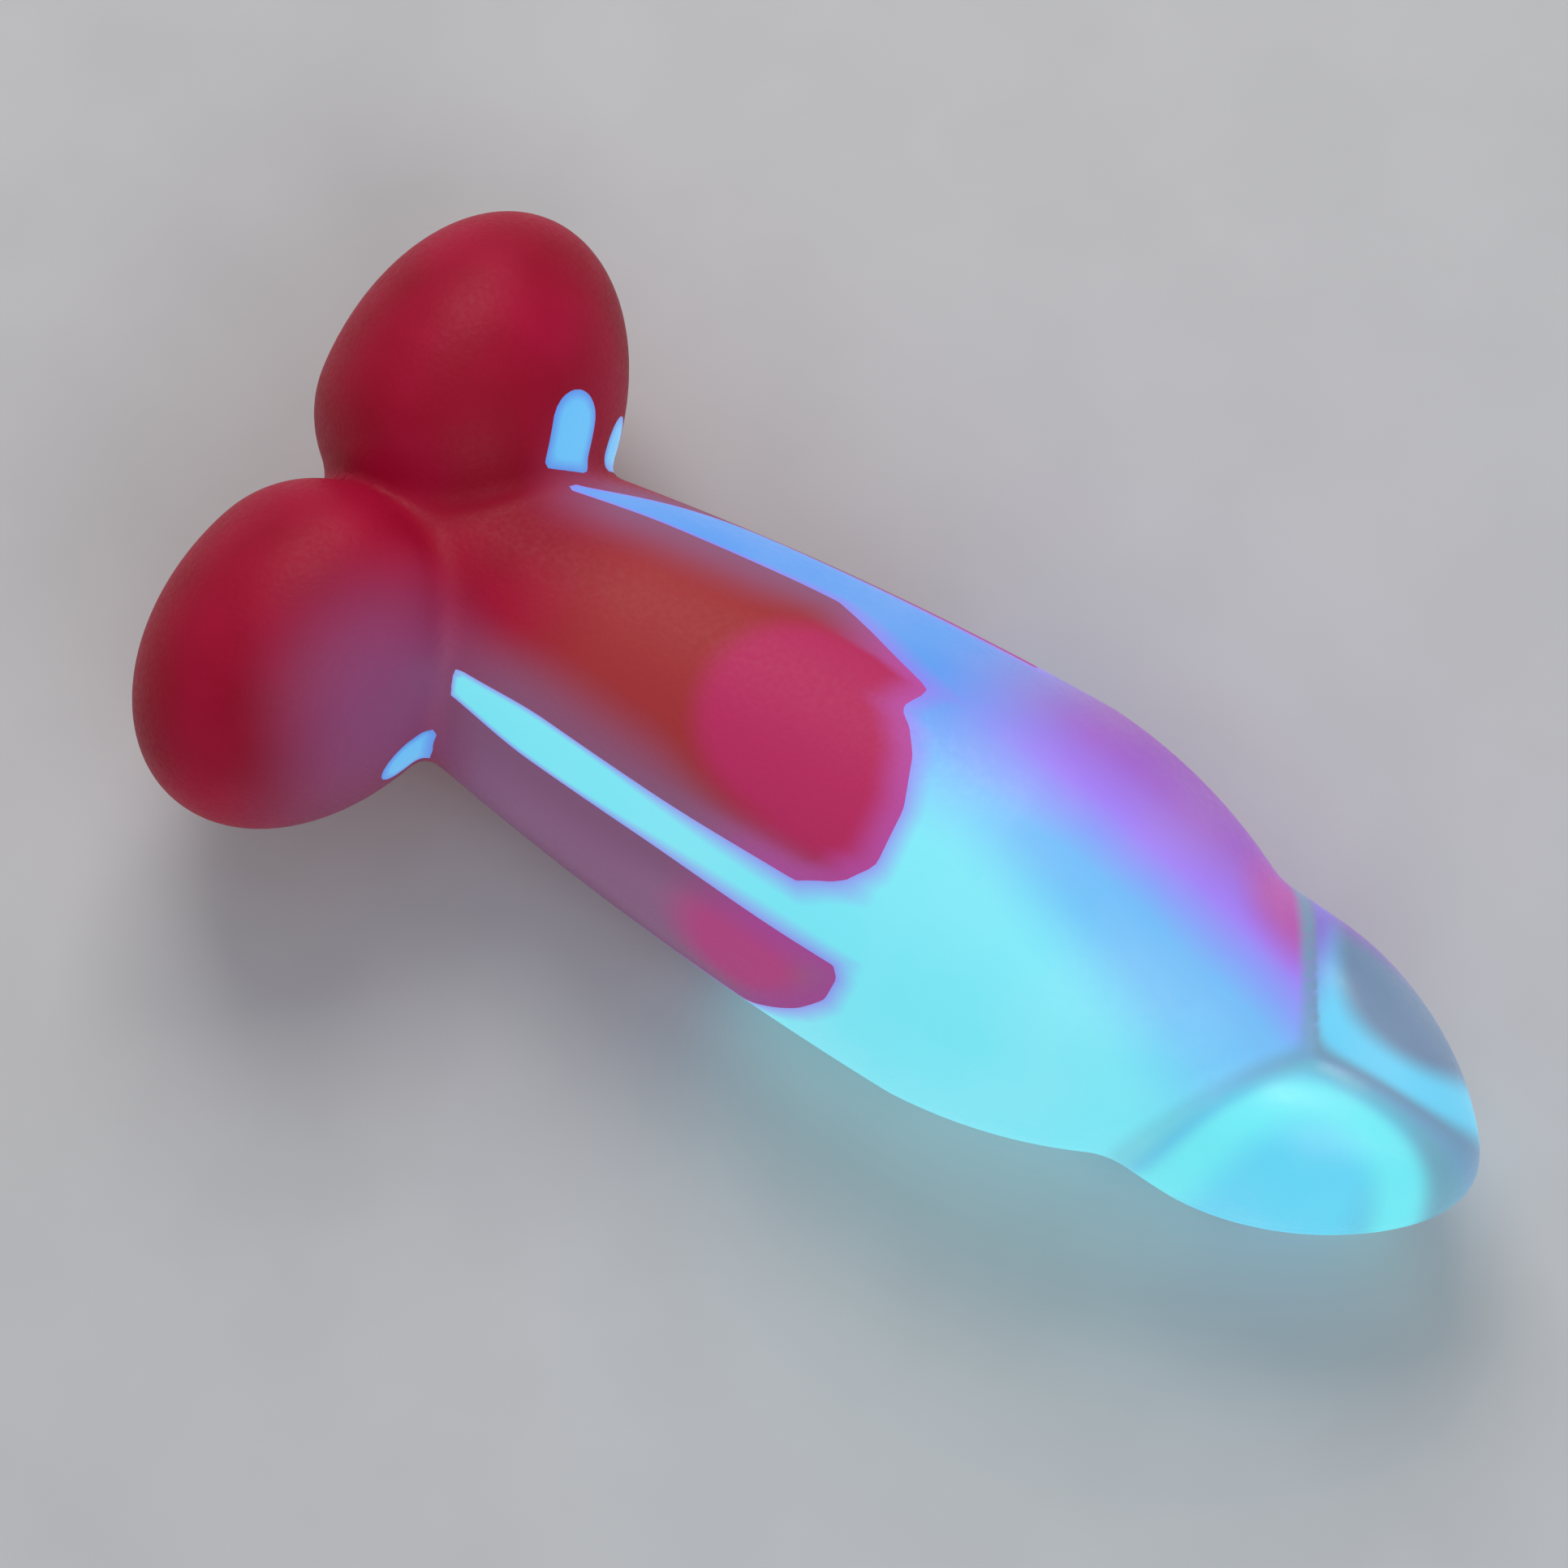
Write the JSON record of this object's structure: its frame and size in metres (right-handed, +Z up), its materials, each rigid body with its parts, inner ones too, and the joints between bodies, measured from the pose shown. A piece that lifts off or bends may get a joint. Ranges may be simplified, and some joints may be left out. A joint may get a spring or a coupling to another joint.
{
  "type": "novelty telephone",
  "caption": "One-piece light-up novelty telephone with jacketed rear lobes, a glowing bulged body, a two-lobed nose, and a keypad and hook plunger underneath.",
  "frame": {"origin": "centre of the plan outline on the plane of the feet", "axes": "+X towards the nose, +Y across the lobes, +Z up from the surface it rests on"},
  "size_m": [0.2163, 0.1094, 0.0617],
  "materials": {
    "red_jacket": "matt red moulded jacket",
    "glow_shell": "frosted translucent shell lit from inside",
    "glow_window": "clear light window lit from inside",
    "bezel_red": "satin dark red plate",
    "key_ivory": "satin ivory keys",
    "silicone": "grey silicone",
    "circuit_board": "green solder mask",
    "steel": "zinc plated steel",
    "black_plastic": "black moulding",
    "led_lens": "cyan lamp lens",
    "capsule_metal": "pressed can",
    "black_rubber": "soft black rubber",
    "clear_jack": "black jack moulding",
    "gold_contacts": "gold flashed wires"
  },
  "bodies": {
    "body": {"upper_jacket": "red_jacket", "lower_jacket": "red_jacket", "upper_diffuser": "glow_shell", "lower_diffuser": "glow_shell", "lobe_windows": "glow_window", "keypad_bezel": "bezel_red", "keypad_mat": "silicone", "keypad_board": "circuit_board", "main_board": "circuit_board", "board_screws": "steel", "case_screws": "steel", "hook_spring": "steel", "hook_switch": "black_plastic", "ringer_sounder": "black_plastic", "light_board": "circuit_board", "light_spacers": "black_plastic", "leds": "led_lens", "receiver_gasket": "silicone", "receiver_capsule": "capsule_metal", "microphone": "capsule_metal", "microphone_boot": "black_rubber", "slide_switches": "steel", "line_jack": "clear_jack", "jack_contacts": "gold_contacts", "rubber_feet": "black_rubber"},
    "key_1_body": {"key_1": "key_ivory"},
    "key_2_body": {"key_2": "key_ivory"},
    "key_3_body": {"key_3": "key_ivory"},
    "key_4_body": {"key_4": "key_ivory"},
    "key_5_body": {"key_5": "key_ivory"},
    "key_6_body": {"key_6": "key_ivory"},
    "key_7_body": {"key_7": "key_ivory"},
    "key_8_body": {"key_8": "key_ivory"},
    "key_9_body": {"key_9": "key_ivory"},
    "key_star_body": {"key_star": "key_ivory"},
    "key_0_body": {"key_0": "key_ivory"},
    "key_hash_body": {"key_hash": "key_ivory"},
    "key_redial_body": {"key_redial": "key_ivory"},
    "key_flash_body": {"key_flash": "key_ivory"},
    "hook_plunger_body": {"hook_plunger": "key_ivory"},
    "tone_slider_body": {"tone_slider": "black_plastic"},
    "ringer_slider_body": {"ringer_slider": "black_plastic"}
  },
  "joints": [
    {"name": "key_1_press", "type": "slide", "parent": "body", "child": "key_1_body", "axis": [0, 0, 1], "range_m": [0, 0.0012], "stiffness_N_per_m": 300, "springref_m": -0.0006},
    {"name": "key_2_press", "type": "slide", "parent": "body", "child": "key_2_body", "axis": [0, 0, 1], "range_m": [0, 0.0012], "stiffness_N_per_m": 300, "springref_m": -0.0006},
    {"name": "key_3_press", "type": "slide", "parent": "body", "child": "key_3_body", "axis": [0, 0, 1], "range_m": [0, 0.0012], "stiffness_N_per_m": 300, "springref_m": -0.0006},
    {"name": "key_4_press", "type": "slide", "parent": "body", "child": "key_4_body", "axis": [0, 0, 1], "range_m": [0, 0.0012], "stiffness_N_per_m": 300, "springref_m": -0.0006},
    {"name": "key_5_press", "type": "slide", "parent": "body", "child": "key_5_body", "axis": [0, 0, 1], "range_m": [0, 0.0012], "stiffness_N_per_m": 300, "springref_m": -0.0006},
    {"name": "key_6_press", "type": "slide", "parent": "body", "child": "key_6_body", "axis": [0, 0, 1], "range_m": [0, 0.0012], "stiffness_N_per_m": 300, "springref_m": -0.0006},
    {"name": "key_7_press", "type": "slide", "parent": "body", "child": "key_7_body", "axis": [0, 0, 1], "range_m": [0, 0.0012], "stiffness_N_per_m": 300, "springref_m": -0.0006},
    {"name": "key_8_press", "type": "slide", "parent": "body", "child": "key_8_body", "axis": [0, 0, 1], "range_m": [0, 0.0012], "stiffness_N_per_m": 300, "springref_m": -0.0006},
    {"name": "key_9_press", "type": "slide", "parent": "body", "child": "key_9_body", "axis": [0, 0, 1], "range_m": [0, 0.0012], "stiffness_N_per_m": 300, "springref_m": -0.0006},
    {"name": "key_star_press", "type": "slide", "parent": "body", "child": "key_star_body", "axis": [0, 0, 1], "range_m": [0, 0.0012], "stiffness_N_per_m": 300, "springref_m": -0.0006},
    {"name": "key_0_press", "type": "slide", "parent": "body", "child": "key_0_body", "axis": [0, 0, 1], "range_m": [0, 0.0012], "stiffness_N_per_m": 300, "springref_m": -0.0006},
    {"name": "key_hash_press", "type": "slide", "parent": "body", "child": "key_hash_body", "axis": [0, 0, 1], "range_m": [0, 0.0012], "stiffness_N_per_m": 300, "springref_m": -0.0006},
    {"name": "key_redial_press", "type": "slide", "parent": "body", "child": "key_redial_body", "axis": [0, 0, 1], "range_m": [0, 0.0012], "stiffness_N_per_m": 300, "springref_m": -0.0006},
    {"name": "key_flash_press", "type": "slide", "parent": "body", "child": "key_flash_body", "axis": [0, 0, 1], "range_m": [0, 0.0012], "stiffness_N_per_m": 300, "springref_m": -0.0006},
    {"name": "hook_slide", "type": "slide", "parent": "body", "child": "hook_plunger_body", "axis": [0, 0, -1], "range_m": [0, 0.004], "stiffness_N_per_m": 60, "springref_m": 0.008, "deforming": ["hook_spring"]},
    {"name": "tone_slider_slide", "type": "slide", "parent": "body", "child": "tone_slider_body", "axis": [1, 0, 0], "range_m": [0, 0.003]},
    {"name": "ringer_slider_slide", "type": "slide", "parent": "body", "child": "ringer_slider_body", "axis": [1, 0, 0], "range_m": [0, 0.003]}
  ]
}
